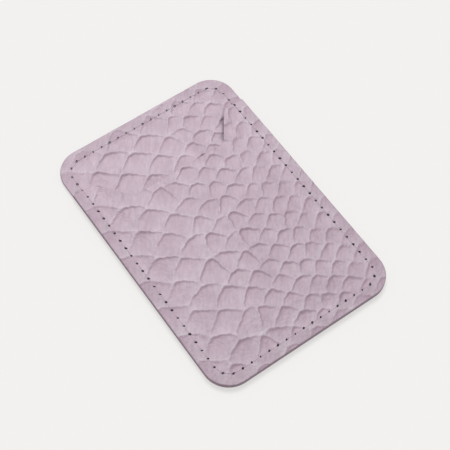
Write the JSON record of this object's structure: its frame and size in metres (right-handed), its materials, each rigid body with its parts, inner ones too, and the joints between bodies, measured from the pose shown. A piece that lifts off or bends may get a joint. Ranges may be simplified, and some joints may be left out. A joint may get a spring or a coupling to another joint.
{
  "type": "phone card holder",
  "caption": "Slim sewn leather pocket for bank cards with scale embossing and a wide thumb scoop; its adhesive back sticks to a phone.",
  "frame": {"origin": "middle of the footprint, on the surface the holder lies on (underside of the release liner)", "axes": "+X across the holder to the right of the embossed face, +Y up its length towards the scooped mouth, +Z out of the embossed face"},
  "size_m": [0.065, 0.095, 0.0031],
  "materials": {
    "embossed_leather": "scale-embossed and lightly waxed lilac leather, dyed through, with plain cut edges",
    "lining_microfibre": "matte brushed microfibre",
    "seam_thread": "twisted polyester sewing thread, dyed to the leather",
    "adhesive_foam": "soft white foam tape",
    "liner_paper": "smooth coated release paper"
  },
  "bodies": {
    "root": {"release_liner": "liner_paper", "adhesive_pad": "adhesive_foam", "rear_lining": "lining_microfibre", "back_panel": "embossed_leather", "pocket_panel": "embossed_leather", "needle_thread": "seam_thread", "bobbin_thread": "seam_thread"}
  },
  "joints": []
}
